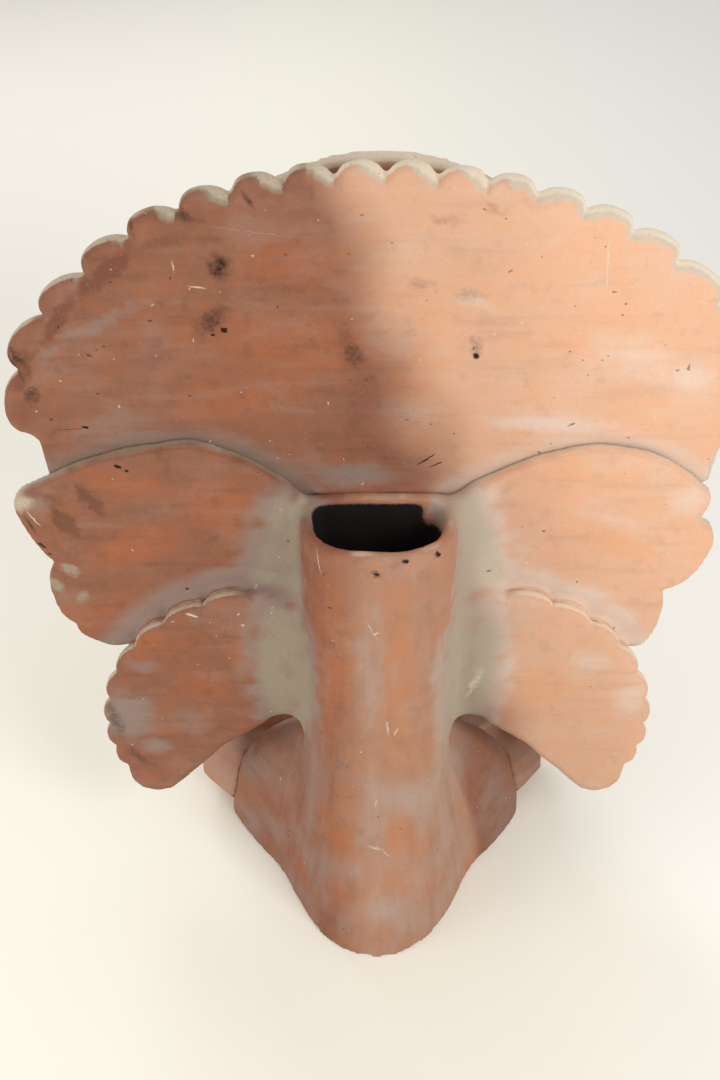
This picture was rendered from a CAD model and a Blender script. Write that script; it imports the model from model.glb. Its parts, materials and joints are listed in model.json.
"""Dresses a hand-built terracotta figure: clay surfaces, slip, fire marks, studio floor and camera.

Every clay piece starts from a merged copy of the solids it stands for. It is remeshed as one dense skin and
softened as wet hands soften clay. Then it carries amounts of slip, haze, soot and worn edge for its finish.
"""

import json
import logging
import math
from dataclasses import dataclass
from enum import Enum
from typing import Sequence

import bmesh
import bpy
import numpy as np
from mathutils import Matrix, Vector
from mathutils.bvhtree import BVHTree
from mathutils.kdtree import KDTree

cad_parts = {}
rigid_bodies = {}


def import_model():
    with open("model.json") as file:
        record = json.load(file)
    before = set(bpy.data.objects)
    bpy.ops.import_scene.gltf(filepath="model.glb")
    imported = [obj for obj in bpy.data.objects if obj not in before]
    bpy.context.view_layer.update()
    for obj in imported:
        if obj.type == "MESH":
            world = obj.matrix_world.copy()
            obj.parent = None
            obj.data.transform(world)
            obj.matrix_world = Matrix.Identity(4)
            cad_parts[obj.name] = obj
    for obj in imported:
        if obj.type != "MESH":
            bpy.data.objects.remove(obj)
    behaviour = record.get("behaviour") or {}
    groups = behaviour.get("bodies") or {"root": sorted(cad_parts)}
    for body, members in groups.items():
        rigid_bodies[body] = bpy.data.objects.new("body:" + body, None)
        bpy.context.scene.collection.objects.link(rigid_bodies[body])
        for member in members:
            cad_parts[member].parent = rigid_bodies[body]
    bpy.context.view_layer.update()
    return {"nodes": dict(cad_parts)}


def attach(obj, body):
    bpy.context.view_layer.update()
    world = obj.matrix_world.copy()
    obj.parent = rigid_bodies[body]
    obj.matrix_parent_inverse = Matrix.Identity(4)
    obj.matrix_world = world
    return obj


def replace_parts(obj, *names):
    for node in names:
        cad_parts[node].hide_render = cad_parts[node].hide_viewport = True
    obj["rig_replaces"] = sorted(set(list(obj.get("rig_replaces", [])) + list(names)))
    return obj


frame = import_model()

MM = 0.001
ROOT = "root"
CLAY_SLOT = "terracotta"
FAR = 60.0
log = logging.getLogger("figure")

Colour = tuple[float, float, float]
Place = tuple[float, float, float]
Socket = bpy.types.NodeSocket


class Stain(Enum):
    """What a skin carries amounts of for its finish. Upright is how much its streaks run downwards."""

    SLIP = "slip"
    HAZE = "haze"
    SOOT = "soot"
    RUST = "rust"
    EDGE = "edge"
    FLUSH = "flush"
    SCRATCH = "scratch"
    BLEACH = "bleach"
    UPRIGHT = "upright"


class Stroke(Enum):
    """Which way the hand smoothed the clay, as how fast its streaks change along X, Y and Z."""

    ACROSS = (0.14, 0.5, 1.0)
    DOWN = (1.0, 1.0, 0.12)


@dataclass(frozen=True)
class Mark:
    """One stain left by fire, slip or fingers, an ellipse on a face that looks backwards.

    Sizes and places are in millimetres, and the plane is the mark's own Y. The turn is in degrees from +X
    towards +Z. Soft is 0 for a crisp edge and 1 for one that fades away. The depth is the mark's reach to each
    side of its plane.
    """

    stain: Stain
    x: float
    z: float
    half_long: float
    half_wide: float
    turn: float = 0.0
    strength: float = 1.0
    soft: float = 0.6
    plane: float = -8.0
    depth: float = 7.0


@dataclass(frozen=True)
class Tone:
    """A colour on the smoke-darkened left side of the figure and on its bleached right side."""

    dark: Colour
    pale: Colour


# Finishes


class Bench:
    """Lays out the shader nodes of one finish. Sizes are in millimetres."""

    tear = 8.0
    tear_reach = 3.2
    fray = 2.2
    fray_reach = 0.5
    fine_mark = 2.5

    def __init__(self, name: str, marks: Sequence[Mark] = ()) -> None:
        """Starts an empty material.

        Args:
            name: the material's name.
            marks: the single stains that it shows.
        """
        self.material = bpy.data.materials.new(name)
        self.material.use_nodes = True
        self.tree = self.material.node_tree
        self.tree.nodes.clear()
        self.place = self.add("ShaderNodeTexCoord").outputs["Object"]
        self.marks = marks
        self.torn = self.shaken(self.tear, self.tear_reach)
        self.frayed = self.shaken(self.fray, self.fray_reach)
        self.bleach = self.amount(Stain.BLEACH)

    def add(self, kind: str, **values: object) -> bpy.types.Node:
        """Adds a node and sets its own properties.

        Args:
            kind: the node's type name.
            values: properties of the node.

        Returns:
            The new node.
        """
        node = self.tree.nodes.new(kind)
        for key, value in values.items():
            setattr(node, key, value)
        return node

    def join(self, source: Socket, target: Socket) -> None:
        """Links a source socket to a target socket."""
        self.tree.links.new(source, target)

    def shaken(self, size: float, reach: float) -> Socket:
        """The places, shaken so that a mark drawn on them gets a ragged edge.

        Args:
            size: the size of the tears in millimetres.
            reach: how far a tear goes in millimetres.

        Returns:
            The shaken places.
        """
        noise = self.add("ShaderNodeTexNoise")
        noise.inputs["Scale"].default_value = 1 / (size * MM)
        noise.inputs["Detail"].default_value = 3
        self.join(self.place, noise.inputs["Vector"])
        centred = self.add("ShaderNodeVectorMath", operation="SUBTRACT")
        centred.inputs[1].default_value = (0.5, 0.5, 0.5)
        self.join(noise.outputs["Color"], centred.inputs[0])
        scaled = self.add("ShaderNodeVectorMath", operation="SCALE")
        scaled.inputs["Scale"].default_value = 4 * reach * MM
        self.join(centred.outputs[0], scaled.inputs[0])
        moved = self.add("ShaderNodeVectorMath", operation="ADD")
        self.join(self.place, moved.inputs[0])
        self.join(scaled.outputs[0], moved.inputs[1])
        point = self.add("ShaderNodeMapping")
        self.join(moved.outputs[0], point.inputs["Vector"])
        return point.outputs["Vector"]

    def noise(self, size: float, stretch: Place = (1, 1, 1), detail: float = 3, warp: float = 0) -> Socket:
        """A cloud pattern.

        Args:
            size: the size of a cloud in millimetres.
            stretch: how fast it changes along each axis.
            detail: the number of finer layers.
            warp: how far it is distorted.

        Returns:
            The pattern, from 0 to 1.
        """
        mapping = self.add("ShaderNodeMapping")
        mapping.inputs["Scale"].default_value = stretch
        self.join(self.place, mapping.inputs["Vector"])
        node = self.add("ShaderNodeTexNoise")
        node.inputs["Scale"].default_value = 1 / (size * MM)
        node.inputs["Detail"].default_value = detail
        node.inputs["Distortion"].default_value = warp
        self.join(mapping.outputs["Vector"], node.inputs["Vector"])
        return node.outputs["Fac"]

    def span(self, source: Socket, low: float, high: float, top: float = 1.0) -> Socket:
        """Spreads the values from low to high over 0 to top, smoothly.

        Args:
            source: the values.
            low: what becomes 0.
            high: what becomes top.
            top: the highest result.

        Returns:
            The spread values.
        """
        node = self.add("ShaderNodeMapRange", interpolation_type="SMOOTHSTEP")
        self.join(source, node.inputs["Value"])
        node.inputs["From Min"].default_value = low
        node.inputs["From Max"].default_value = high
        node.inputs["To Max"].default_value = top
        return node.outputs["Result"]

    def sum(self, how: str, first: object, second: object) -> Socket:
        """Works out one number from two.

        Args:
            how: the operation's name.
            first: a socket or a number.
            second: a socket or a number.

        Returns:
            The result.
        """
        node = self.add("ShaderNodeMath", operation=how)
        for slot, value in zip(node.inputs, (first, second)):
            if isinstance(value, Socket):
                self.join(value, slot)
            else:
                slot.default_value = value
        return node.outputs[0]

    def amount(self, stain: Stain) -> Socket:
        """How much of a stain the piece carries."""
        return self.add("ShaderNodeAttribute", attribute_name=stain.value).outputs["Fac"]

    def blend(self, under: object, over: object, share: Socket) -> Socket:
        """Lays one colour over another.

        Args:
            under: the lower colour, a socket or three numbers.
            over: the upper colour, a socket or three numbers.
            share: how much of the upper colour shows.

        Returns:
            The mixed colour.
        """
        node = self.add("ShaderNodeMix", data_type="RGBA")
        self.join(share, node.inputs[0])
        for slot, value in ((node.inputs[6], under), (node.inputs[7], over)):
            if isinstance(value, Socket):
                self.join(value, slot)
            else:
                slot.default_value = (*value, 1)
        return node.outputs[2]

    def tone(self, tone: Tone) -> Socket:
        """A tone's colour, as bleached as the piece is at that place."""
        return self.blend(tone.dark, tone.pale, self.bleach)

    def spot(self, mark: Mark) -> Socket:
        """One mark's own amount: full in its middle and nothing outside it.

        Args:
            mark: the mark.

        Returns:
            The amount.
        """
        outer = 1.1 + 0.6 * mark.soft
        inner = 0.9 - 0.8 * mark.soft
        ball = self.add("ShaderNodeTexGradient", gradient_type="SPHERICAL")
        place = ball.texture_mapping
        place.vector_type = "TEXTURE"
        place.translation = (mark.x * MM, mark.plane * MM, mark.z * MM)
        place.rotation = (0, -math.radians(mark.turn), 0)
        place.scale = [size * outer * MM for size in (mark.half_long, mark.depth, mark.half_wide)]
        self.join(self.torn if mark.half_wide > self.fine_mark else self.frayed, ball.inputs["Vector"])
        return self.span(ball.outputs["Fac"], 0, 1 - inner / outer, mark.strength)

    def close(self, surface: Socket) -> None:
        """Ends the finish with a surface."""
        self.join(surface, self.add("ShaderNodeOutputMaterial").inputs["Surface"])

    def stained(self, stain: Stain, cloud: Socket, broken: float, top: float = 1.0) -> Socket:
        """A stain's share, from the piece's own amounts and the marks, broken up by a cloud pattern.

        Args:
            stain: which stain.
            cloud: the pattern that breaks it up.
            broken: 0 for a whole stain and 1 for one that is mostly patches.
            top: the share where the stain is full.

        Returns:
            The share.
        """
        amount = self.amount(stain)
        for mark in self.marks:
            if mark.stain is stain:
                amount = self.sum("MAXIMUM", amount, self.spot(mark))
        stirred = self.sum("ADD", 1 - broken, self.sum("MULTIPLY", cloud, 2 * broken))
        return self.span(self.sum("MULTIPLY", amount, stirred), 0.1, 0.85, top)


def seen_as_it_is(tree: bpy.types.NodeTree) -> Socket:
    """1 for the rays that show a backdrop as it is: the camera's, those off a gloss and those through glass.

    Args:
        tree: the nodes of a material or a world.

    Returns:
        The 1 or 0.
    """
    path = tree.nodes.new("ShaderNodeLightPath").outputs
    shown = path["Is Camera Ray"]
    for kind in ("Is Glossy Ray", "Is Transmission Ray"):
        either = tree.nodes.new("ShaderNodeMath")
        either.operation = "MAXIMUM"
        tree.links.new(shown, either.inputs[0])
        tree.links.new(path[kind], either.inputs[1])
        shown = either.outputs[0]
    return shown


@dataclass(frozen=True)
class FiredClay:
    """Low-fired terracotta with a thin pale slip over it, smoothed by hand."""

    name: str
    marks: tuple[Mark, ...] = ()
    brown: Tone = Tone((0.30, 0.122, 0.070), (0.88, 0.52, 0.34))
    orange: Tone = Tone((0.43, 0.138, 0.056), (0.90, 0.47, 0.26))
    dusty: Tone = Tone((0.36, 0.195, 0.138), (0.85, 0.58, 0.43))
    smoky: Tone = Tone((0.17, 0.075, 0.046), (0.66, 0.39, 0.27))
    haze: Tone = Tone((0.32, 0.245, 0.21), (0.88, 0.71, 0.60))
    slip: Tone = Tone((0.36, 0.30, 0.22), (0.68, 0.60, 0.48))
    edge: Tone = Tone((0.60, 0.50, 0.375), (0.92, 0.80, 0.63))
    rust: Tone = Tone((0.16, 0.062, 0.036), (0.46, 0.21, 0.12))
    soot: Colour = (0.010, 0.007, 0.007)
    chalk: Colour = (0.78, 0.70, 0.60)
    gloss: float = 0.25
    grain: float = 0.5
    grain_height: float = 0.5
    streak_size: float = 8.0

    def material(self) -> bpy.types.Material:
        """The finish as a material, made once."""
        ready = bpy.data.materials.get(self.name)
        return ready or self.lay()

    def lay(self) -> bpy.types.Material:
        """Builds the material's nodes.

        Returns:
            The material.
        """
        bench = Bench(self.name, self.marks)
        broad = bench.noise(74, detail=4, warp=0.5)
        patch = bench.noise(26, (0.75, 1, 1), detail=5, warp=0.3)
        mottle = bench.noise(10, detail=7, warp=0.3)
        grit = bench.noise(2.2, detail=3)
        fine = bench.noise(0.9, detail=3)
        streak = self.streaks(bench)
        flushed = bench.stained(Stain.FLUSH, patch, 0.5, 0.75)
        colour = bench.blend(bench.tone(self.brown), bench.tone(self.orange), flushed)
        for tone, share in (
            (self.orange, bench.span(broad, 0.5, 0.72, 0.5)),
            (self.dusty, bench.span(patch, 0.48, 0.75, 0.7)),
            (self.dusty, bench.span(streak, 0.52, 0.8, 0.55)),
            (self.smoky, bench.span(streak, 0.48, 0.2, 0.5)),
            (self.smoky, bench.span(mottle, 0.48, 0.22, 0.42)),
            (self.orange, bench.span(mottle, 0.5, 0.75, 0.45)),
            (self.haze, bench.stained(Stain.HAZE, streak, 0.6, 0.85)),
            (self.slip, bench.stained(Stain.SLIP, streak, 0.45, 0.95)),
            (self.edge, bench.stained(Stain.EDGE, mottle, 0.7, 0.9)),
            (self.rust, bench.stained(Stain.RUST, mottle, 0.6, 0.7)),
            (self.soot, bench.span(bench.noise(3.4, detail=0), 0.85, 0.88, 0.6)),
            (self.chalk, bench.span(bench.noise(3.1, detail=0, warp=0.4), 0.86, 0.88, 0.6)),
            (self.smoky, bench.span(fine, 0.48, 0.2, 0.5)),
            (self.dusty, bench.span(grit, 0.55, 0.8, 0.4)),
            (self.chalk, bench.stained(Stain.SCRATCH, grit, 0.7, 0.75)),
            (self.soot, bench.stained(Stain.SOOT, grit, 0.55)),
        ):
            colour = bench.blend(colour, bench.tone(tone) if isinstance(tone, Tone) else tone, share)
        shader = bench.add("ShaderNodeBsdfPrincipled")
        shader.inputs["Specular IOR Level"].default_value = self.gloss
        bench.join(colour, shader.inputs["Base Color"])
        matt = bench.sum("ADD", 0.66, bench.span(patch, 0.3, 0.7, 0.2))
        bench.join(matt, shader.inputs["Roughness"])
        height = bench.sum("ADD", bench.sum("MULTIPLY", streak, 0.7), bench.sum("MULTIPLY", fine, 0.3))
        height = bench.sum("ADD", height, bench.sum("MULTIPLY", mottle, 0.5))
        bump = bench.add("ShaderNodeBump")
        bump.inputs["Strength"].default_value = self.grain
        bump.inputs["Distance"].default_value = self.grain_height * MM
        bench.join(height, bump.inputs["Height"])
        bench.join(bump.outputs["Normal"], shader.inputs["Normal"])
        bench.close(shader.outputs["BSDF"])
        return bench.material

    def streaks(self, bench: Bench) -> Socket:
        """Streaks that run across the slabs and down the upright walls.

        Args:
            bench: the finish's bench.

        Returns:
            The pattern, from 0 to 1.
        """
        across = bench.noise(self.streak_size, Stroke.ACROSS.value, detail=5, warp=0.15)
        down = bench.noise(self.streak_size, Stroke.DOWN.value, detail=5, warp=0.15)
        turn = bench.sum("MULTIPLY", bench.sum("SUBTRACT", down, across), bench.amount(Stain.UPRIGHT))
        return bench.sum("ADD", across, turn)


@dataclass(frozen=True)
class PalePaper:
    """The studio floor: a plain pale sheet, greyer on the side away from the window."""

    name: str = "pale_sheet"
    cream: Colour = (0.93, 0.915, 0.82)
    white: Colour = (0.97, 0.965, 0.93)
    grey: Colour = (0.74, 0.72, 0.68)
    lift: float = 0.11
    far_lift: float = 0.5

    def tint(self, bench: Bench) -> Socket:
        """The sheet's colour: cream, whiter towards the window and greyer far away on the left.

        Args:
            bench: the finish's bench.

        Returns:
            The colour.
        """
        axes = bench.add("ShaderNodeSeparateXYZ")
        bench.join(bench.place, axes.inputs[0])
        far = bench.span(axes.outputs["Y"], -0.15, -0.75)
        left = bench.span(axes.outputs["X"], -0.05, 0.5)
        right = bench.span(axes.outputs["X"], 0.0, -0.4)
        greyed = bench.sum("MULTIPLY", far, bench.sum("ADD", 0.25, bench.sum("MULTIPLY", left, 0.6)))
        return bench.blend(bench.blend(self.cream, self.white, right), self.grey, greyed)

    def material(self) -> bpy.types.Material:
        """Builds the sheet's material.

        Returns:
            The material.
        """
        bench = Bench(self.name)
        colour = self.tint(bench)
        shader = bench.add("ShaderNodeBsdfPrincipled")
        shader.inputs["Roughness"].default_value = 0.85
        shader.inputs["Specular IOR Level"].default_value = 0.15
        bench.join(colour, shader.inputs["Base Color"])
        glow = bench.add("ShaderNodeEmission")
        bench.join(colour, glow.inputs["Color"])
        reach = bench.add("ShaderNodeVectorMath", operation="LENGTH")
        bench.join(bench.place, reach.inputs[0])
        lift = bench.sum("ADD", self.lift, bench.span(reach.outputs["Value"], 1.6, 5.0, self.far_lift))
        bench.join(bench.sum("MULTIPLY", seen_as_it_is(bench.tree), lift), glow.inputs["Strength"])
        both = bench.add("ShaderNodeAddShader")
        bench.join(shader.outputs["BSDF"], both.inputs[0])
        bench.join(glow.outputs["Emission"], both.inputs[1])
        bench.close(both.outputs["Shader"])
        return bench.material


# Working the clay


def waves(places: np.ndarray, size: float, seed: int) -> np.ndarray:
    """Smooth unevenness, as a sum of seeded plane waves.

    Args:
        places: points in millimetres.
        size: the length of a wave in millimetres.
        seed: which pattern.

    Returns:
        A value near -1 to 1 for each point.
    """
    chance = np.random.default_rng(seed)
    ways = chance.normal(size=(18, 3))
    ways /= np.linalg.norm(ways, axis=1)[:, None]
    ways *= 2 * math.pi / size * chance.uniform(0.6, 1.5, size=(18, 1))
    phases = chance.uniform(0, 2 * math.pi, size=18)
    return np.cos(places @ ways.T + phases).sum(1) / 6


def ease(values: np.ndarray, low: float, high: float) -> np.ndarray:
    """Spreads the values from low to high over 0 to 1, smoothly.

    Args:
        values: the values.
        low: what becomes 0.
        high: what becomes 1, which may lie below low.

    Returns:
        The spread values.
    """
    share = np.clip((values - low) / (high - low), 0, 1)
    return share * share * (3 - 2 * share)


def surface_of(names: Sequence[str]) -> BVHTree:
    """The surface of some CAD nodes, to measure distances to.

    Args:
        names: the nodes.

    Returns:
        The surface, in metres.
    """
    corners: list[Vector] = []
    faces: list[list[int]] = []
    for name in names:
        mesh = frame["nodes"][name].data
        start = len(corners)
        corners += [v.co.copy() for v in mesh.vertices]
        faces += [[start + i for i in p.vertices] for p in mesh.polygons]
    return BVHTree.FromPolygons(corners, faces)


class Clay:
    """A dense clay skin that can be softened, pushed and stained. It works in millimetres."""

    draw_in = 0.55
    give_back = 0.57

    def __init__(self, piece: bpy.types.Object) -> None:
        """Reads the piece's mesh."""
        self.piece = piece
        self.read()

    def read(self) -> None:
        """Takes the places, edges and facings from the mesh."""
        mesh = self.piece.data
        count = len(mesh.vertices)
        flat = np.empty(count * 3, np.float32)
        mesh.vertices.foreach_get("co", flat)
        self.places = flat.reshape(-1, 3).astype(float) / MM
        ends = np.empty(len(mesh.edges) * 2, np.int32)
        mesh.edges.foreach_get("vertices", ends)
        self.ends = ends.reshape(-1, 2)
        self.degree = np.bincount(self.ends.ravel(), minlength=count)
        facing = np.empty(count * 3, np.float32)
        mesh.vertex_normals.foreach_get("vector", facing)
        self.facing = facing.reshape(-1, 3).astype(float)

    def average(self, values: np.ndarray) -> np.ndarray:
        """The mean of each point's neighbours.

        Args:
            values: one row or number for each point.

        Returns:
            The means, in the same shape.
        """
        columns = values.reshape(len(values), -1)
        first, second = self.ends.T
        means = [
            np.bincount(first, column[second], len(values)) + np.bincount(second, column[first], len(values))
            for column in columns.T
        ]
        return (np.array(means) / self.degree).T.reshape(values.shape)

    def soften(self, times: int, share: float | np.ndarray = 1.0) -> None:
        """Smooths the skin without drawing it in.

        Args:
            times: how many passes.
            share: how far each point takes part, from 0 to 1.
        """
        weight = np.broadcast_to(share, len(self.places))[:, None]
        for _ in range(times):
            self.places += weight * self.draw_in * (self.average(self.places) - self.places)
            self.places -= weight * self.give_back * (self.average(self.places) - self.places) * self.draw_in
        self.write()

    def relax(self, times: int, share: float | np.ndarray = 1.0) -> None:
        """Smooths the skin plainly, which fills corners and rounds edges.

        Args:
            times: how many passes.
            share: how far each point takes part, from 0 to 1.
        """
        weight = np.broadcast_to(share, len(self.places))[:, None]
        for _ in range(times):
            self.places += weight * 0.5 * (self.average(self.places) - self.places)
        self.write()

    def push(self, amount: np.ndarray) -> None:
        """Moves each point along its facing by an amount in millimetres."""
        self.places += self.facing * amount[:, None]
        self.write()

    def write(self) -> None:
        """Puts the places back in the mesh, with nothing under the ground."""
        self.places[:, 2] = np.maximum(self.places[:, 2], 0)
        mesh = self.piece.data
        mesh.vertices.foreach_set("co", (self.places * MM).astype(np.float32).ravel())
        mesh.update()
        self.read()

    def stain(self, stain: Stain, amount: np.ndarray) -> None:
        """Keeps a stain's amounts on the mesh for the finish to read.

        Args:
            stain: which stain.
            amount: a number for each point. Past 1 nothing breaks the stain up.
        """
        mesh = self.piece.data
        kept = mesh.attributes.get(stain.value) or mesh.attributes.new(stain.value, "FLOAT", "POINT")
        kept.data.foreach_set("value", np.clip(amount, 0, 2).astype(np.float32))

    def near(self, surface: BVHTree) -> np.ndarray:
        """Each point's distance in millimetres to a surface, FAR at most."""
        found = (surface.find_nearest(Vector(p * MM), FAR * MM) for p in self.places)
        return np.array([FAR if hit[3] is None else hit[3] / MM for hit in found])

    def hollows(self, passes: int) -> np.ndarray:
        """How far each point lies below the softened skin.

        Args:
            passes: how often the skin is softened for this.

        Returns:
            The depths in millimetres, negative on ridges.
        """
        smooth = self.places.copy()
        for _ in range(passes):
            smooth += 0.8 * (self.average(smooth) - smooth)
        return ((smooth - self.places) * self.facing).sum(1)

    def backward(self) -> np.ndarray:
        """1 where the skin faces backwards, 0 where it faces sideways or forwards."""
        return ease(self.facing[:, 1], 0.05, 0.6)

    def sideways(self) -> np.ndarray:
        """1 on the rim surfaces of an upright slab, 0 on its faces."""
        return ease(1 - np.abs(self.facing[:, 1]), 0.35, 0.75)

    def away_from(self, chosen: np.ndarray) -> tuple[np.ndarray, np.ndarray]:
        """Each point's distance in millimetres to the nearest of some chosen points.

        Args:
            chosen: True for each chosen point.

        Returns:
            The distances, and the number of the nearest chosen point for each point.
        """
        picked = np.flatnonzero(chosen)
        tree = KDTree(len(picked))
        for number in picked:
            tree.insert(self.places[number], int(number))
        tree.balance()
        found = [tree.find(place) for place in self.places]
        return np.array([hit[2] for hit in found]), np.array([hit[1] for hit in found])


def merged_copy(names: Sequence[str], swell: float) -> bpy.types.Mesh:
    """One mesh from copies of CAD nodes, each a little swollen so that luted pieces join.

    Args:
        names: the nodes.
        swell: how far each surface moves outwards, in millimetres.

    Returns:
        The joined mesh.
    """
    together = bmesh.new()
    for name in names:
        part = bmesh.new()
        part.from_mesh(frame["nodes"][name].data)
        bmesh.ops.remove_doubles(part, verts=part.verts, dist=0.005 * MM)
        part.normal_update()
        for corner in part.verts:
            corner.co += corner.normal * swell * MM
        passed = bpy.data.meshes.new("passed")
        part.to_mesh(passed)
        part.free()
        together.from_mesh(passed)
        bpy.data.meshes.remove(passed)
    mesh = bpy.data.meshes.new("merged")
    together.to_mesh(mesh)
    together.free()
    return mesh


def settled(piece: bpy.types.Object) -> bpy.types.Object:
    """Applies a piece's modifiers to its mesh.

    Args:
        piece: the piece.

    Returns:
        The same piece.
    """
    graph = bpy.context.evaluated_depsgraph_get()
    shaped = bpy.data.meshes.new_from_object(piece.evaluated_get(graph))
    old = piece.data
    piece.modifiers.clear()
    piece.data = shaped
    bpy.data.meshes.remove(old)
    return piece


@dataclass
class Skin:
    """How a clay piece is made from the solids it stands for. Sizes are in millimetres."""

    name: str
    nodes: tuple[str, ...]
    pitch: float
    finish: FiredClay
    softness: int = 6
    swell: float = 0.05
    uneven: float = 0.35
    slot: str = CLAY_SLOT
    seed: int = 1

    def form(self) -> Clay:
        """Makes the piece's dense skin, softened and a little uneven.

        Returns:
            The skin.
        """
        piece = bpy.data.objects.new(self.name, merged_copy(self.nodes, self.swell))
        bpy.context.scene.collection.objects.link(piece)
        weave = piece.modifiers.new("skin", "REMESH")
        weave.mode = "VOXEL"
        weave.voxel_size = self.pitch * MM
        weave.use_smooth_shade = True
        clay = Clay(settled(piece))
        clay.soften(self.softness)
        lumps = waves(clay.places, 46, self.seed) + 0.35 * waves(clay.places, 17, self.seed + 1)
        clay.push(self.uneven * lumps)
        return clay

    def finish_off(self, clay: Clay) -> bpy.types.Object:
        """Gives the piece its material, body and slot, and reports it.

        Args:
            clay: the finished skin.

        Returns:
            The piece.
        """
        piece = clay.piece
        for face in piece.data.polygons:
            face.use_smooth = True
        piece.data.materials.clear()
        piece.data.materials.append(self.finish.material())
        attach(piece, ROOT)
        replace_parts(piece, *self.nodes)
        log.info("%s: %d points for %s", self.name, len(clay.places), ", ".join(self.nodes))
        return piece


# The marks of fire, slip and fingers

CROWN_MARKS = (
    Mark(Stain.SOOT, 87, 457, 9, 7, 70, 0.62, 1.0),
    Mark(Stain.SOOT, 88.5, 459, 4, 2.6, 60, 0.6, 0.9),
    Mark(Stain.SOOT, 94, 422, 15, 9, 125, 0.5, 1.0),
    Mark(Stain.SOOT, 86.5, 416.5, 2.4, 1.7, 30, 1.0, 0.5),
    Mark(Stain.SOOT, 93, 413.5, 1.6, 1.0, 30, 0.8, 0.5),
    Mark(Stain.SOOT, 91, 420, 7, 0.35, 122, 0.6, 0.4),
    Mark(Stain.SOOT, 95, 422, 8, 0.3, 116, 0.5, 0.4),
    Mark(Stain.SOOT, 127.5, 422.5, 1.5, 0.8, 0, 0.6, 0.4),
    Mark(Stain.SOOT, 171.5, 349.5, 2.4, 0.9, 12, 0.9, 0.3),
    Mark(Stain.SOOT, 180, 348, 9, 0.28, -6, 0.55, 0.2),
    Mark(Stain.SOOT, 207, 392, 13, 1.3, 68, 0.55, 0.7),
    Mark(Stain.SOOT, 200, 372, 7, 5, 60, 0.5, 1.0),
    Mark(Stain.SOOT, 204, 398, 9, 3, 65, 0.6, 1.0),
    Mark(Stain.SOOT, 133, 482, 12, 1.6, 80, 0.4, 0.9),
    Mark(Stain.SOOT, 70, 497, 7, 2.0, 60, 0.5, 0.9),
    Mark(Stain.SOOT, 104, 487, 10, 5, 20, 0.5, 1.0),
    Mark(Stain.SOOT, -54.3, 399.5, 2.4, 1.8, 60, 0.8, 0.6),
    Mark(Stain.SOOT, -55, 405, 9, 4, 70, 0.36, 1.0),
    Mark(Stain.SOOT, -23.3, 445, 10, 6, 0, 0.34, 1.0),
    Mark(Stain.SOOT, -50, 438, 13, 5, 15, 0.32, 1.0),
    Mark(Stain.SOOT, -28, 326, 7, 0.5, -38, 0.8, 0.3),
    Mark(Stain.SOOT, -34, 322.5, 5, 0.5, -25, 0.7, 0.3),
    Mark(Stain.SOOT, 15, 400, 11, 8, 60, 0.5, 1.0),
    Mark(Stain.SOOT, 20, 412, 14, 6, 100, 0.34, 1.0),
    Mark(Stain.SOOT, 10, 372, 34, 16, 95, 0.3, 1.0),
    Mark(Stain.RUST, 150, 452, 24, 6, -42, 0.85, 0.8),
    Mark(Stain.RUST, 178, 424, 20, 5, -58, 0.8, 0.8),
    Mark(Stain.RUST, 203, 389, 16, 7, -70, 0.8, 0.9),
    Mark(Stain.RUST, 205, 362, 14, 8, -80, 0.5, 1.0),
    Mark(Stain.RUST, 120, 470, 24, 6, -22, 0.5, 1.0),
    Mark(Stain.RUST, 60, 440, 40, 20, 70, 0.25, 1.0),
    Mark(Stain.RUST, -34.5, 485, 12, 4, 10, 0.5, 0.9),
    Mark(Stain.RUST, -60, 492, 9, 3, 20, 0.5, 0.9),
    Mark(Stain.HAZE, 158, 419, 34, 5.5, -28, 0.55, 1.0),
    Mark(Stain.HAZE, 128, 392, 50, 20, -16, 0.3, 1.0),
    Mark(Stain.HAZE, -18, 362, 26, 14, 10, 0.4, 1.0),
    Mark(Stain.HAZE, 17, 315, 30, 10, 0, 0.65, 1.0),
    Mark(Stain.HAZE, 151, 352, 40, 14, -8, 0.42, 1.0),
    Mark(Stain.HAZE, 175, 380, 24, 18, -30, 0.3, 1.0),
    Mark(Stain.HAZE, -52.7, 435, 14, 5, 20, 0.5, 0.9),
    Mark(Stain.HAZE, -150, 395, 32, 18, 30, 0.5, 1.0),
    Mark(Stain.HAZE, -177, 383, 20, 18, 40, 0.55, 1.0),
    Mark(Stain.HAZE, -105, 352, 52, 10, 8, 0.6, 1.0),
    Mark(Stain.HAZE, 188, 400, 9, 5, -40, 0.6, 0.9),
    Mark(Stain.FLUSH, 48, 458, 40, 22, 0, 0.6, 1.0),
    Mark(Stain.FLUSH, 49, 407, 46, 26, 10, 0.75, 1.0),
    Mark(Stain.FLUSH, 76, 370, 50, 16, -10, 0.6, 1.0),
    Mark(Stain.FLUSH, 120, 440, 26, 12, -35, 0.4, 1.0),
    Mark(Stain.FLUSH, -25, 395, 22, 40, 10, 0.6, 1.0),
    Mark(Stain.FLUSH, -120, 415, 46, 18, -15, 0.6, 1.0),
    Mark(Stain.FLUSH, -80, 375, 30, 14, 10, 0.6, 1.0),
    Mark(Stain.SCRATCH, -123, 456.6, 16, 0.5, 86, 0.7, 0.3),
    Mark(Stain.SCRATCH, 100, 444, 5, 0.5, 10, 0.8, 0.4),
    Mark(Stain.SCRATCH, 112, 457, 4, 0.5, 85, 0.7, 0.5),
    Mark(Stain.SCRATCH, 70, 478, 30, 0.3, 8, 0.3, 0.5),
)

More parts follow.
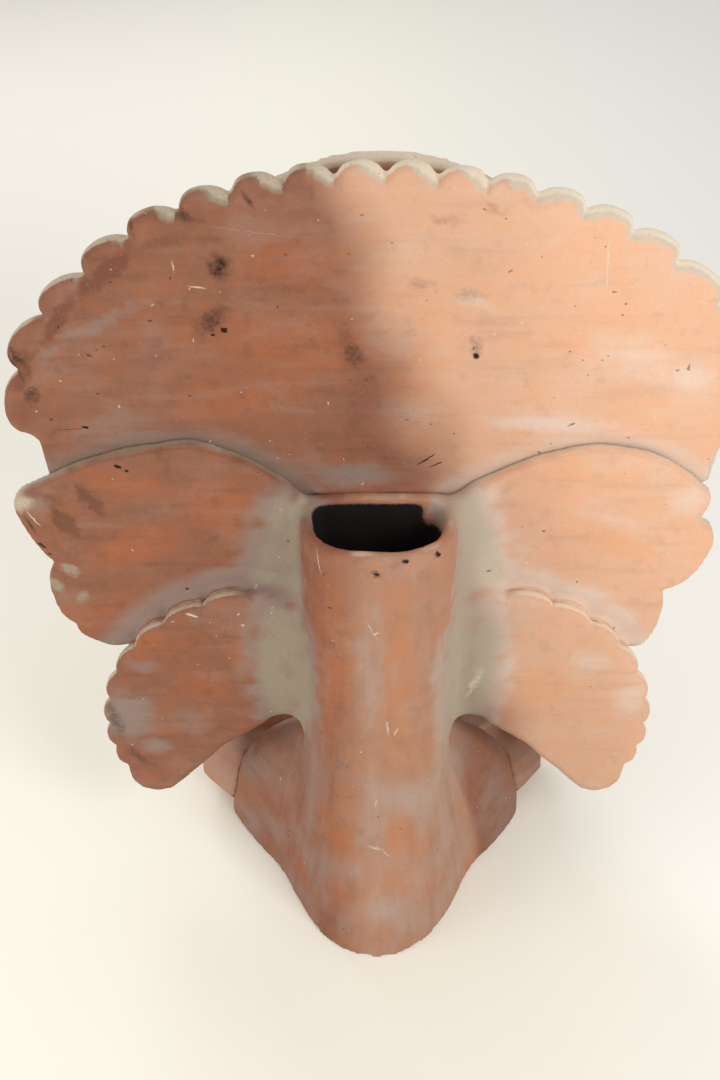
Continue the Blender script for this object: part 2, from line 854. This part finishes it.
WING_MARKS = (
    Mark(Stain.RUST, 173, 305, 14, 5.5, 58, 1.0, 0.8, 4),
    Mark(Stain.RUST, 190, 288.5, 14, 6, 57, 1.0, 0.8, 4),
    Mark(Stain.RUST, 199, 306, 14, 5, 20, 0.6, 1.0, 4),
    Mark(Stain.RUST, 178, 270, 22, 8, 40, 0.35, 1.0, 4),
    Mark(Stain.SOOT, 153, 330, 2.6, 1.4, 20, 0.95, 0.5, 4),
    Mark(Stain.SOOT, 148, 327, 1.4, 0.9, 20, 0.8, 0.5, 4),
    Mark(Stain.SOOT, 205, 269, 3.4, 1.3, 40, 0.8, 0.6, 4),
    Mark(Stain.SOOT, 201, 262, 1.4, 1.0, 0, 0.7, 0.5, 4),
    Mark(Stain.SOOT, 210, 285, 9, 1.2, 70, 0.5, 0.8, 4),
    Mark(Stain.SOOT, 119, 233.5, 1.4, 1.1, 0, 0.7, 0.4, 4),
    Mark(Stain.SOOT, 48.9, 313, 5, 1.4, 80, 1.0, 0.3, 0, 12),
    Mark(Stain.SCRATCH, 207.7, 290, 7, 0.5, 60, 0.8, 0.2, 4),
    Mark(Stain.EDGE, 214, 302, 9, 8, 0, 0.75, 1.0, 0, 10),
    Mark(Stain.SLIP, 190, 250, 6, 4, 20, 0.9, 0.8, 4),
    Mark(Stain.SLIP, 200, 237, 7, 5, 40, 0.9, 0.8, 4),
    Mark(Stain.SLIP, 185, 228, 5, 6, 40, 0.6, 0.9, 4),
    Mark(Stain.HAZE, 133, 298, 30, 12, -10, 0.35, 1.0, 4),
    Mark(Stain.HAZE, 205, 300, 9, 12, 0, 0.5, 0.9, 4),
    Mark(Stain.FLUSH, 150, 268, 34, 15, -20, 0.9, 1.0, 4),
    Mark(Stain.FLUSH, 95, 300, 30, 20, 0, 0.8, 1.0, 4),
    Mark(Stain.FLUSH, 150, 316, 36, 12, 10, 0.7, 1.0, 4),
    Mark(Stain.HAZE, -185, 305, 14, 16, 0, 0.6, 1.0, 4),
    Mark(Stain.HAZE, -140, 290, 34, 8, 20, 0.4, 1.0, 4),
    Mark(Stain.FLUSH, -130, 322, 26, 9, 5, 0.9, 1.0, 4),
    Mark(Stain.FLUSH, -150, 268, 30, 12, 30, 0.8, 1.0, 4),
    Mark(Stain.HAZE, 150, 180, 13, 7, 10, 0.6, 1.0, 17),
    Mark(Stain.HAZE, 164, 135, 18, 24, 0, 0.95, 1.0, 17),
    Mark(Stain.HAZE, 148, 107, 12, 9, 30, 0.7, 1.0, 17),
    Mark(Stain.HAZE, 77.5, 151, 9, 8, 0, 0.5, 1.0, 17),
    Mark(Stain.HAZE, 120, 130, 18, 14, 40, 0.4, 1.0, 17),
    Mark(Stain.SOOT, 172, 130, 20, 6, 80, 0.45, 1.0, 17),
    Mark(Stain.SOOT, 160, 96, 14, 6, 50, 0.42, 1.0, 17),
    Mark(Stain.SLIP, 59, 176, 34, 5, 87, 0.55, 1.0, 17, 16),
    Mark(Stain.FLUSH, 80, 188, 16, 20, 0, 0.8, 1.0, 17),
    Mark(Stain.FLUSH, 143, 203, 11, 7, 0, 0.8, 0.9, 17),
    Mark(Stain.FLUSH, 112, 165, 20, 16, 0, 0.6, 1.0, 17),
    Mark(Stain.SCRATCH, 115.5, 224, 4, 0.9, 20, 1.0, 0.2, 17),
    Mark(Stain.SCRATCH, -62, 168, 17, 4.0, 102, 0.5, 1.0, 17, 14),
    Mark(Stain.HAZE, -64, 165, 24, 9, 102, 0.7, 1.0, 17, 14),
    Mark(Stain.HAZE, -136, 185, 18, 11, 20, 0.5, 1.0, 17),
    Mark(Stain.HAZE, -165, 149, 13, 18, 0, 0.6, 1.0, 17),
    Mark(Stain.FLUSH, -110, 160, 26, 20, 0, 0.7, 1.0, 17),
)

FLUE_MARKS = (
    Mark(Stain.SOOT, -34, 299, 2.6, 1.4, 60, 0.8, 0.7, 46, 14),
    Mark(Stain.SOOT, -15, 299, 2.4, 1.4, 0, 0.8, 0.7, 50, 14),
    Mark(Stain.SOOT, 1.5, 291, 5, 3.4, 20, 0.5, 1.0, 54, 14),
    Mark(Stain.SOOT, 1.5, 291, 2.4, 1.3, 20, 0.8, 0.7, 54, 14),
    Mark(Stain.SOOT, -8, 296, 10, 4, 10, 0.28, 1.0, 54, 14),
    Mark(Stain.SOOT, 29, 262, 2, 1.0, 0, 0.5, 0.6, 48, 14),
    Mark(Stain.SCRATCH, 35, 293, 9, 0.4, 82, 0.6, 0.4, 42, 16),
    Mark(Stain.SCRATCH, 3.5, 248, 10, 0.4, 63, 0.5, 0.4, 54, 14),
    Mark(Stain.SCRATCH, -6, 175, 7, 1.0, 85, 0.7, 0.7, 58, 14),
    Mark(Stain.HAZE, 4, 215, 72, 11, 89, 0.5, 1.0, 56, 20),
    Mark(Stain.HAZE, -24, 240, 56, 10, 92, 0.3, 1.0, 50, 24),
    Mark(Stain.FLUSH, 28, 215, 80, 14, 91, 0.9, 1.0, 46, 24),
    Mark(Stain.FLUSH, -14, 190, 80, 12, 90, 0.8, 1.0, 54, 24),
    Mark(Stain.RUST, 36, 245, 60, 12, 92, 0.3, 1.0, 40, 24),
    Mark(Stain.HAZE, 42, 115, 60, 9, 94, 0.55, 1.0, 52, 40),
    Mark(Stain.HAZE, 2, 95, 60, 12, 90, 0.5, 1.0, 70, 40),
    Mark(Stain.SLIP, -42, 130, 62, 8, 88, 0.5, 1.0, 50, 40),
    Mark(Stain.SLIP, 62, 120, 22, 14, 60, 0.4, 1.0, 40, 40),
    Mark(Stain.SLIP, -70, 110, 26, 18, 100, 0.45, 1.0, 30, 40),
    Mark(Stain.FLUSH, -18, 70, 44, 14, 90, 0.9, 1.0, 78, 40),
    Mark(Stain.FLUSH, 24, 80, 50, 12, 90, 0.8, 1.0, 70, 40),
    Mark(Stain.FLUSH, 66, 80, 26, 14, 60, 0.6, 1.0, 40, 40),
    Mark(Stain.SCRATCH, 0.6, 83, 7, 1.1, 15, 0.6, 0.8, 76, 24),
    Mark(Stain.SCRATCH, -6, 79, 4, 0.5, 40, 0.7, 0.5, 76, 24),
    Mark(Stain.SCRATCH, 0.8, 118, 3, 0.6, 100, 0.6, 0.6, 68, 24),
    Mark(Stain.SCRATCH, -11, 172, 4, 0.5, 110, 0.6, 0.5, 60, 24),
)

# Sub-assemblies

CROWN_FINISH = FiredClay("fired_clay_crown", CROWN_MARKS)
BACK_FINISH = FiredClay("fired_clay_back", WING_MARKS + FLUE_MARKS)
FRONT_FINISH = FiredClay("fired_clay_front")


def bleached(clay: Clay) -> np.ndarray:
    """How far each point is bleached, from the figure's left to its right.

    Args:
        clay: the skin.

    Returns:
        A share for each point. What doesn't look backwards is hardly bleached.
    """
    across = clay.places[:, 0] + 9 * waves(clay.places, 70, 5) + 0.28 * (480 - clay.places[:, 2])
    behind = ease(clay.facing[:, 1], -0.7, -0.1)
    return behind * (0.78 * ease(across, 36, -18) + 0.22 * ease(across, -18, -130)) + 0.16 * (1 - behind)


@dataclass
class BackBody:
    """The seat, the flue, the wings and the lower fans, luted into one skin with their smears.

    Sizes are in millimetres.
    """

    pitch: float = 2.2
    mouth_height: float = 303.0
    inner_half_width: float = 43.0
    inner_depth: float = 47.0
    crown_foot: float = 345.0
    smear_reach: float = 15.0
    wings: tuple[str, ...] = ("left_wing", "right_wing")
    fans: tuple[str, ...] = ("left_lower_fan", "right_lower_fan")
    smears: tuple[str, ...] = ("left_fan_smear", "right_fan_smear", "left_wing_smear", "right_wing_smear")

    def mesh(self) -> tuple[Skin, Clay]:
        """Forms the skin, fills its luted corners and rounds the mouth's lip.

        Returns:
            How the skin is made, and the skin.
        """
        nodes = ("seat_shell", "flue_tube") + self.wings + self.fans + self.smears
        skin = Skin("back_body", nodes, self.pitch, BACK_FINISH, softness=4, swell=0.35, uneven=0.45, seed=3)
        clay = skin.form()
        luted = ease(clay.near(surface_of(self.smears)), self.smear_reach, 3)
        clay.relax(80, 0.9 * luted)
        clay.relax(9, clay.sideways() * ease(clay.places[:, 1], 8, 4) * ease(clay.places[:, 2], 170, 200))
        lip = ease(clay.places[:, 2], self.mouth_height - 7, self.mouth_height - 3)
        clay.relax(8, lip * (clay.places[:, 1] > 4))
        clay.places[:, 2] += 0.9 * lip * waves(clay.places, 34, 8)
        clay.write()
        return skin, clay

    def slip(self, clay: Clay) -> None:
        """Stains the smears, the joints and what lies near them with slip and haze.

        Args:
            clay: the skin.
        """
        x, y, z = clay.places.T
        smeared = clay.near(surface_of(self.smears))
        fans = clay.near(surface_of(self.fans))
        slabs = clay.near(surface_of(self.wings + self.fans))
        on_wing = ease(y, 7, 4) * ease(np.abs(x), 48, 60) * ease(z, 150, 190)
        patchy = 1 + 0.35 * waves(clay.places, 22, 6)
        joint = 0.8 * on_wing * ease(clay.facing[:, 2], 0.1, 0.6) * ease(y, 1, -5)
        clay.stain(Stain.SLIP, 0.9 * ease(smeared, self.smear_reach, -4) * patchy + joint)
        low = 0.95 * on_wing * clay.backward() * ease(fans, 26, 3)
        dusty = 0.34 * (1 + 0.6 * waves(clay.places, 44, 9)) * ease(z, 190, 120) * ease(slabs, 2, 8)
        spread = 0.75 * ease(smeared, 2 * self.smear_reach, 6) * (1 + 0.5 * waves(clay.places, 16, 4))
        clay.stain(Stain.HAZE, np.maximum.reduce([low, dusty, spread]))

    def wear(self, clay: Clay) -> None:
        """Stains the slabs' rims and the mouth's lip as worn and pale.

        Args:
            clay: the skin.
        """
        y, z = clay.places.T[1:]
        side = np.abs(clay.places[:, 0])
        slabs = clay.near(surface_of(self.wings + self.fans))
        rim = clay.sideways() * ease(side, 75, 95) * ease(slabs, 2, 0.5)
        broken = 0.6 + 0.6 * waves(clay.places, 26, 12)
        lip = ease(z, self.mouth_height - 2, self.mouth_height) * ease(side, 52, 46) * broken
        clay.stain(Stain.EDGE, np.maximum(rim * np.where(y > 6, 0.8, 0.35), 0.5 * lip))

    def smoke(self, clay: Clay) -> None:
        """Blackens the inside of the mouth, except where light falls on its wall.

        Args:
            clay: the skin.
        """
        x, y, z = clay.places.T
        inward = clay.facing[:, 0] * x + clay.facing[:, 1] * (y - 20) < 0
        within = (np.abs(x) < self.inner_half_width) & (y < self.inner_depth)
        hidden = inward & within & (z < self.mouth_height - 0.5)
        lit_wall = ease(x, -20, -30) * ease(z, self.mouth_height - 34, self.mouth_height - 12)
        deep = ease(z, self.mouth_height - 2, self.mouth_height - 8)
        clay.stain(Stain.SOOT, hidden * deep * (2 - 1.85 * lit_wall))
        clay.stain(Stain.FLUSH, hidden * lit_wall)

    def dress(self) -> bpy.types.Object:
        """Stains the skin and gives it its finish.

        Returns:
            The piece.
        """
        skin, clay = self.mesh()
        x, y, z = clay.places.T
        side = np.abs(x)
        clay.stain(Stain.UPRIGHT, np.minimum(1, ease(side, 72, 50) + ease(y, 20, 30)))
        self.slip(clay)
        self.wear(clay)
        self.smoke(clay)
        flue = np.clip(ease(side, 66, 44) + ease(y, 24, 34), 0, 1)
        slabs = np.where(z < self.crown_foot, bleached(clay), 0) * (1 - flue)
        clay.stain(Stain.BLEACH, slabs + 0.3 * flue * ease(x, 34, 0))
        return skin.finish_off(clay)


@dataclass
class Crown:
    """The big fan, its lobes bevelled behind by the thumb, with the slip at the mouth.

    Sizes are in millimetres.
    """

    pitch: float = 1.44
    bevel: float = 4.6
    bevel_reach: float = 9.5
    hem: float = 312.0
    even_from: float = -70.0
    mouth_height: float = 303.0
    nodes: tuple[str, ...] = ("crown_fan", "mouth_smear")

    def thumb(self, clay: Clay) -> np.ndarray:
        """Bevels the back of each lobe, most on the side where the thumb slid off it.

        Args:
            clay: the fan's skin.

        Returns:
            How much each point is part of the bevel, from 0 to 1.
        """
        rim = (np.abs(clay.facing[:, 1]) < 0.35) & (clay.places[:, 2] > self.hem)
        away, nearest = clay.away_from(rim)
        slid = 0.1 + 0.9 * ease(clay.facing[nearest, 0], 0.3, -0.4)
        slid = np.where(clay.places[:, 0] < self.even_from, 0.65, slid)
        share = slid * np.clip(1 - away / self.bevel_reach, 0, 1) ** 1.4
        clay.places[:, 1] -= self.bevel * share * ease(clay.places[:, 1], -18, -9)
        clay.write()
        return share

    def dress(self) -> bpy.types.Object:
        """Forms, stains and finishes the fan.

        Returns:
            The piece.
        """
        skin = Skin("crown", self.nodes, self.pitch, CROWN_FINISH, softness=2, uneven=0.4, seed=11)
        clay = skin.form()
        bevelled = self.thumb(clay)
        clay.relax(2)
        clay.relax(30, ease(clay.near(surface_of(("mouth_smear",))), 8, 1))
        wings = clay.near(surface_of(("left_wing", "right_wing")))
        backward = clay.backward()
        clay.stain(Stain.HAZE, 0.6 * ease(wings, 20, 2) * backward)
        clay.stain(Stain.SLIP, 0.4 * ease(wings, 5, 0.5) * backward + 0.9 * ease(bevelled, 0.05, 0.4))
        patchy = 0.75 + 0.45 * waves(clay.places, 24, 14)
        clay.stain(Stain.EDGE, clay.sideways() * patchy + 0.95 * ease(bevelled, 0.2, 0.7))
        clay.stain(Stain.BLEACH, bleached(clay))
        below = ease(clay.places[:, 2], self.mouth_height, self.mouth_height - 4)
        inside = ease(np.abs(clay.places[:, 0]), 40, 38) * below * (clay.facing[:, 1] > 0)
        clay.stain(Stain.SOOT, 2.0 * inside)
        return skin.finish_off(clay)


@dataclass
class Front:
    """What faces forwards: crest, head, limbs and ornaments, most of it hidden from behind.

    Sizes are in millimetres.
    """

    fine_pitch: float = 1.1
    broad_pitch: float = 1.8
    limb_swell: float = 1.1
    broad: tuple[str, ...] = ("crest_panel", "torso", "left_leg", "right_leg")

    def dress_one(self, name: str, seed: int) -> bpy.types.Object:
        """Forms, stains and finishes one piece.

        Args:
            name: the node that it stands for.
            seed: which unevenness it gets.

        Returns:
            The piece.
        """
        crest = name == "crest_panel"
        limb = name.endswith(("leg", "arm"))
        pitch = self.broad_pitch if name in self.broad else self.fine_pitch
        swell = self.limb_swell if limb else 0.05
        skin = Skin(name + "_clay", (name,), pitch, FRONT_FINISH, 3, swell, 0.15, seed=seed)
        clay = skin.form()
        worn = ease(-clay.hollows(6), 0.15, 0.6)
        top = ease(clay.facing[:, 2], 0.2, 0.7) * crest
        clay.stain(Stain.EDGE, 0.6 * worn * (not limb) + 0.9 * top)
        clay.stain(Stain.HAZE, 0.4 * (1 + 0.6 * waves(clay.places, 44, 9)) * limb)
        luted = 0.9 if name.endswith("arm") else 0.6
        clay.stain(Stain.SLIP, luted * ease(clay.places[:, 1], -30, 0) * limb)
        clay.stain(Stain.BLEACH, 0.25 + 0.6 * bleached(clay) * crest)
        return skin.finish_off(clay)

    def dress(self) -> list[bpy.types.Object]:
        """Makes every piece that nothing else stands for.

        Returns:
            The pieces.
        """
        done = {n for o in bpy.context.scene.objects for n in o.get("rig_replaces", [])} | {"floor_slab"}
        left = sorted(set(frame["nodes"]) - done)
        return [self.dress_one(name, 20 + number) for number, name in enumerate(left)]


# Stage


@dataclass(frozen=True)
class Lamp:
    """One soft square lamp that points at a place. Sizes are in metres, the power in watts."""

    name: str
    place: Place
    aim: Place
    size: float
    power: float
    colour: Colour

    def hang(self) -> None:
        """Hangs the lamp."""
        light = bpy.data.lights.new(self.name, "AREA")
        light.energy = self.power
        light.size = self.size
        light.color = self.colour
        lamp = bpy.data.objects.new(self.name, light)
        lamp.location = self.place
        lamp.rotation_euler = (Vector(self.aim) - Vector(self.place)).to_track_quat("-Z", "Y").to_euler()
        lamp.visible_camera = False
        bpy.context.scene.collection.objects.link(lamp)


@dataclass
class Studio:
    """The pale floor, the soft lamps and the camera. Sizes are in metres, angles in degrees."""

    floor: float = 12.0
    sensor: float = 23.6
    lens: float = 35.0
    tilt: float = 40.0
    eye: Place = (0.011, 0.74983, 0.9)
    fill: Colour = (1.0, 0.98, 0.95)
    fill_strength: float = 0.5
    backdrop: Colour = (0.86, 0.85, 0.81)
    lamps: tuple[Lamp, ...] = (
        Lamp("key", (-0.55, 0.72, 0.85), (-0.05, 0, 0.28), 0.5, 4.9, (1, 0.985, 0.96)),
        Lamp("left", (0.85, 0.42, 0.35), (0.05, 0.02, 0.18), 0.6, 2.7, (1, 0.985, 0.96)),
        Lamp("front", (0.7, -1.3, 1.0), (0, 0, 0.25), 0.9, 9.0, (1, 0.99, 0.97)),
    )

    def lay_floor(self) -> None:
        """Lays the pale sheet under the figure."""
        sheet = bmesh.new()
        bmesh.ops.create_grid(sheet, x_segments=1, y_segments=1, size=self.floor / 2)
        mesh = bpy.data.meshes.new("floor")
        sheet.to_mesh(mesh)
        sheet.free()
        floor = bpy.data.objects.new("floor", mesh)
        floor.data.materials.append(PalePaper().material())
        bpy.context.scene.collection.objects.link(floor)

    def light(self) -> None:
        """Sets the sky and the lamps."""
        world = bpy.data.worlds.new("studio")
        world.use_nodes = True
        tree = world.node_tree
        tree.nodes.clear()
        fill = tree.nodes.new("ShaderNodeBackground")
        fill.inputs["Color"].default_value = (*self.fill, 1)
        fill.inputs["Strength"].default_value = self.fill_strength
        seen = tree.nodes.new("ShaderNodeBackground")
        seen.inputs["Color"].default_value = (*self.backdrop, 1)
        mix = tree.nodes.new("ShaderNodeMixShader")
        output = tree.nodes.new("ShaderNodeOutputWorld")
        tree.links.new(seen_as_it_is(tree), mix.inputs[0])
        tree.links.new(fill.outputs[0], mix.inputs[1])
        tree.links.new(seen.outputs[0], mix.inputs[2])
        tree.links.new(mix.outputs[0], output.inputs["Surface"])
        bpy.context.scene.world = world
        for lamp in self.lamps:
            lamp.hang()

    def set_camera(self) -> None:
        """Sets the camera at the photographed angle: from behind, looking down."""
        data = bpy.data.cameras.new("camera")
        data.sensor_width = self.sensor
        data.lens = self.lens
        data.clip_start = 0.02
        camera = bpy.data.objects.new("camera", data)
        camera.location = self.eye
        camera.rotation_euler = (math.radians(90 - self.tilt), 0, math.pi)
        bpy.context.scene.collection.objects.link(camera)
        bpy.context.scene.camera = camera

    def build(self) -> None:
        """Makes the whole stage."""
        self.lay_floor()
        self.light()
        self.set_camera()
        bpy.context.scene.view_settings.view_transform = "Standard"
        log.info("studio: floor, %d lamps and the camera", len(self.lamps))


def main() -> None:
    """Builds the stage and every piece of the figure."""
    logging.basicConfig(level=logging.INFO, format="%(name)s: %(message)s")
    Studio().build()
    slab = frame["nodes"]["floor_slab"].data
    slab.materials.clear()
    slab.materials.append(BACK_FINISH.material())
    log.info("floor_slab: carried over")
    BackBody().dress()
    Crown().dress()
    Front().dress()


if __name__ == "__main__":
    main()
